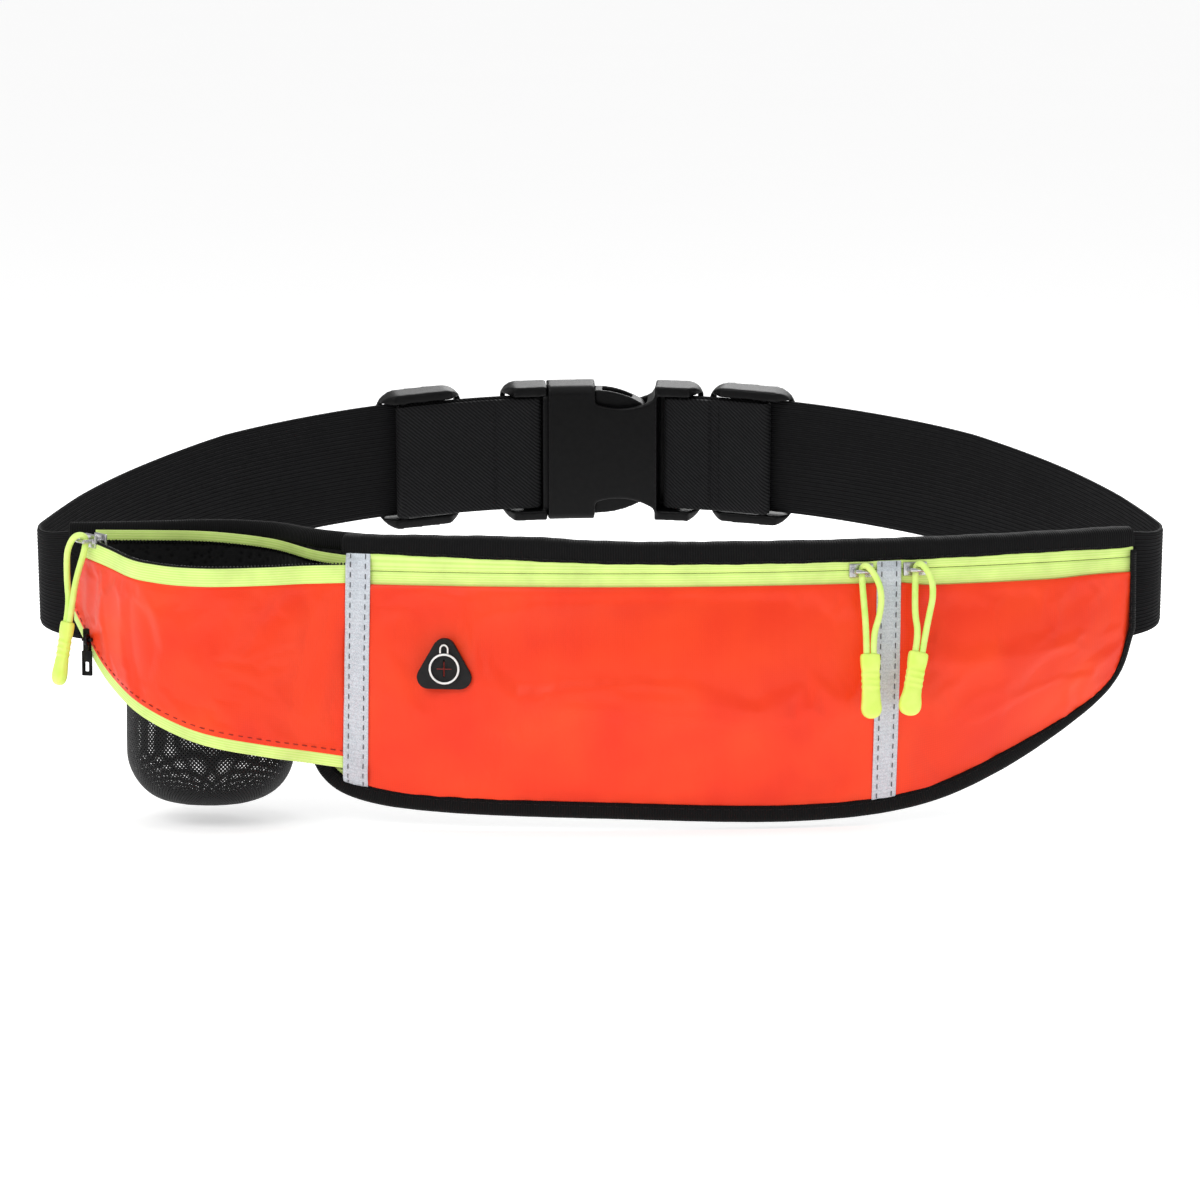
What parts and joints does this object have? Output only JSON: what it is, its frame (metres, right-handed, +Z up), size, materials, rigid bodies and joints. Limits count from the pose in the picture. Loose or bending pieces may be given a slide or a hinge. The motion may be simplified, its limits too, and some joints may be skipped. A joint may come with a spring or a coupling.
{
  "type": "waist pack",
  "caption": "Running waist pack with zipped front pockets, a drop-down mesh bottle pocket, a cord-pull zip set and an adjustable belt with a side-release buckle.",
  "frame": {"origin": "on the wearer's waist axis, level with the middle of the pack's ends", "axes": "+X to the wearer's left, -Y out of the pack's front, +Z up along the waist"},
  "size_m": [0.407, 0.215, 0.1406],
  "materials": {
    "coated_fabric": "smooth satin coated polyester",
    "zip_tape": "woven neon tape",
    "black_coil": "moulded nylon coil",
    "black_binding": "ribbed binding tape",
    "black_mesh": "air mesh",
    "net": "open net",
    "reflective": "retroreflective tape",
    "black_rubber": "moulded rubber",
    "slider_metal": "plated zinc",
    "black_metal": "black paint",
    "neon_cord": "braided cord",
    "neon_grip": "soft moulded plastic",
    "elastic": "ribbed elastic webbing",
    "webbing": "twill webbing",
    "buckle_plastic": "satin moulded acetal"
  },
  "bodies": {
    "pack": {"back_panel": "black_mesh", "main_front_panel": "coated_fabric", "right_front_panel": "coated_fabric", "earphone_port": "black_rubber", "left_reflective_strip": "reflective", "right_reflective_strip": "reflective", "left_divider": "black_mesh", "right_divider": "black_mesh", "bottom_binding": "black_binding", "top_binding": "black_binding", "pocket_binding": "black_binding", "main_zip_upper_tape": "zip_tape", "main_zip_lower_tape": "zip_tape", "main_zip_coils": "black_coil", "right_zip_upper_tape": "zip_tape", "right_zip_lower_tape": "zip_tape", "right_zip_coils": "black_coil", "bottle_sleeve": "net", "pocket_front_panel": "coated_fabric", "drop_zip_tape": "zip_tape", "drop_zip_coil": "black_coil", "pocket_zip_front_tape": "zip_tape", "pocket_zip_front_coil": "black_coil", "pocket_zip_rear_tape": "zip_tape", "drop_slider": "black_metal", "pocket_slider": "slider_metal", "left_strap": "elastic", "right_strap": "elastic"},
    "main_slider": {"main_slider": "slider_metal"},
    "main_pull": {"main_pull_cord": "neon_cord", "main_pull_grip": "neon_grip"},
    "right_slider": {"right_slider": "slider_metal"},
    "right_pull": {"right_pull_cord": "neon_cord", "right_pull_grip": "neon_grip"},
    "pocket_pull": {"pocket_pull_cord": "neon_cord", "pocket_pull_grip": "neon_grip"},
    "drop_slider_tab": {"drop_slider_tab": "black_metal"},
    "left_belt_end": {"left_triglide": "buckle_plastic", "left_webbing_loop": "webbing", "buckle_male": "buckle_plastic"},
    "upper_release_arm": {"upper_release_arm": "buckle_plastic"},
    "lower_release_arm": {"lower_release_arm": "buckle_plastic"},
    "right_belt_end": {"right_triglide": "buckle_plastic", "right_webbing_loop": "webbing", "buckle_female": "buckle_plastic"}
  },
  "joints": [
    {"name": "main_slider_travel", "type": "hinge", "parent": "pack", "child": "main_slider", "pos_m": [0, 0.2945, 0], "axis": [0, 0, 1], "range_deg": [-24.2, 0]},
    {"name": "right_slider_travel", "type": "hinge", "parent": "pack", "child": "right_slider", "pos_m": [0, 0.2945, 0], "axis": [0, 0, 1], "range_deg": [0, 10.4]},
    {"name": "main_pull_swing", "type": "hinge", "parent": "main_slider", "child": "main_pull", "pos_m": [0.09311, -0.10037, 0.012], "axis": [-0.9733, -0.2295, 0], "range_deg": [0, 95]},
    {"name": "right_pull_swing", "type": "hinge", "parent": "right_slider", "child": "right_pull", "pos_m": [0.11258, -0.09527, 0.012], "axis": [-0.9607, -0.2775, 0], "range_deg": [0, 95]},
    {"name": "pocket_pull_swing", "type": "hinge", "parent": "pack", "child": "pocket_pull", "pos_m": [-0.18507, -0.07629, 0.0199], "axis": [-0.5075, 0.8616, 0], "range_deg": [0, 95]},
    {"name": "drop_slider_tab_swing", "type": "hinge", "parent": "pack", "child": "drop_slider_tab", "pos_m": [-0.18318, -0.07583, -0.0155], "axis": [-0.9511, 0.309, 0], "range_deg": [0, 80]},
    {"name": "left_belt_slide", "type": "hinge", "parent": "pack", "child": "left_belt_end", "pos_m": [0, -0.1223, -0.01543], "axis": [0, -0.2334, 0.9724], "range_deg": [0, 11.6]},
    {"name": "right_belt_slide", "type": "hinge", "parent": "pack", "child": "right_belt_end", "pos_m": [0, -0.1223, -0.01543], "axis": [0, -0.2334, 0.9724], "range_deg": [-7.2, 0]},
    {"name": "upper_tab_press", "type": "hinge", "parent": "left_belt_end", "child": "upper_release_arm", "pos_m": [-0.01291, 0.08428, 0.05369], "axis": [-0.0594, 0.9707, 0.233], "range_deg": [0, 5], "stiffness_Nm_per_rad": 0.4},
    {"name": "lower_tab_press", "type": "hinge", "parent": "left_belt_end", "child": "lower_release_arm", "pos_m": [-0.01291, 0.09314, 0.01673], "axis": [-0.0594, 0.9707, 0.233], "range_deg": [-5, 0], "stiffness_Nm_per_rad": 0.4}
  ]
}
